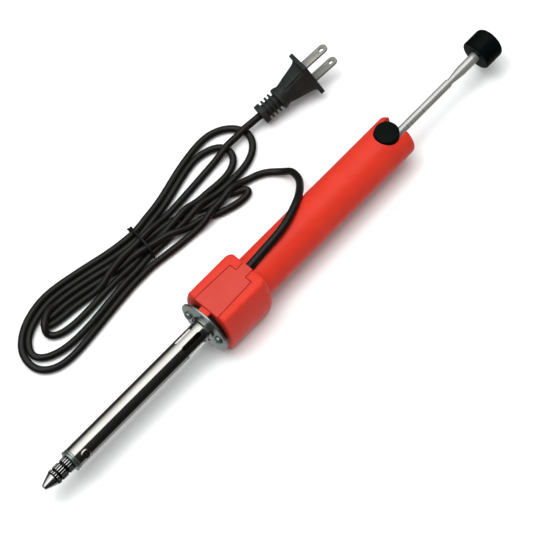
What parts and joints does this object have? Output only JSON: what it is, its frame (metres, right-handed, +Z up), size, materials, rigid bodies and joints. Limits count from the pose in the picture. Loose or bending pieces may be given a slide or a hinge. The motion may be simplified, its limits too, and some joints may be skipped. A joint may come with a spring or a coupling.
{
  "type": "desoldering pump",
  "caption": "Heated desoldering pump with a knurled hollow nozzle, chrome barrel, red handle, spring plunger, trigger button and mains cord in a tied hank.",
  "frame": {"origin": "on the bench under the tool's mid-length, below the centre line of the barrel and handle", "axes": "+X from the nozzle to the plunger knob, +Z up through the trigger button, +Y towards the side where the cord lies"},
  "size_m": [0.37, 0.1105, 0.0362],
  "materials": {
    "nozzle_steel": "dark, knurled",
    "steel": "satin",
    "chrome": "polished",
    "zinc_plate": "zinc plated",
    "spring_steel": "bright",
    "nichrome": "oxidised",
    "blade_metal": "nickel plated",
    "aluminium": "satin",
    "brass": "satin",
    "ceramic": "unglazed",
    "mica": "flaky",
    "phenolic": "matte",
    "red_plastic": "semi-gloss",
    "cover_plastic": "fine matte",
    "black_plastic": "satin",
    "rubber": "matte",
    "cord_pvc": "soft sheen",
    "plug_pvc": "moulded",
    "tie_plastic": "matte",
    "blue_insulation": "matte",
    "brown_insulation": "matte"
  },
  "bodies": {
    "root": {"nozzle_tip": "nozzle_steel", "barrel_collar": "zinc_plate", "tip_set_screw": "chrome", "heater_barrel": "chrome", "suction_tube": "steel", "heater_core": "ceramic", "heater_winding": "nichrome", "mica_sleeve": "mica", "mounting_flange": "zinc_plate", "flange_screw_left": "zinc_plate", "flange_screw_right": "zinc_plate", "flange_spacer": "phenolic", "front_housing": "red_plastic", "terminal_cover": "cover_plastic", "terminal_board": "ceramic", "terminal_screw_left": "brass", "terminal_screw_right": "brass", "supply_wire_left": "blue_insulation", "supply_wire_right": "brown_insulation", "heater_wire_left": "ceramic", "heater_wire_right": "ceramic", "handle_shell": "red_plastic", "cylinder_head": "rubber", "pump_cylinder": "aluminium", "guide_bush": "brass", "plunger_spring": "spring_steel", "piston_bumper": "rubber", "button_spring": "spring_steel", "cord_sleeve": "cord_pvc", "cord_lead": "cord_pvc", "cord_hank": "cord_pvc", "cord_tie": "tie_plastic", "plug_lead": "cord_pvc", "plug_relief": "plug_pvc", "plug_body": "plug_pvc", "plug_blade_left": "blade_metal", "plug_blade_right": "blade_metal"},
    "plunger": {"piston": "aluminium", "piston_ring": "rubber", "plunger_rod": "steel", "plunger_knob": "black_plastic"},
    "button": {"release_button": "black_plastic", "latch_plate": "spring_steel"}
  },
  "joints": [
    {"name": "plunger_slide", "type": "slide", "parent": "root", "child": "plunger", "axis": [-1, 0, 0], "range_m": [0, 0.052], "stiffness_N_per_m": 280, "springref_m": -0.03, "deforming": ["plunger_spring"]},
    {"name": "button_press", "type": "slide", "parent": "root", "child": "button", "axis": [0, 0, -1], "range_m": [0, 0.0025], "stiffness_N_per_m": 900, "springref_m": -0.001, "deforming": ["button_spring"]}
  ]
}
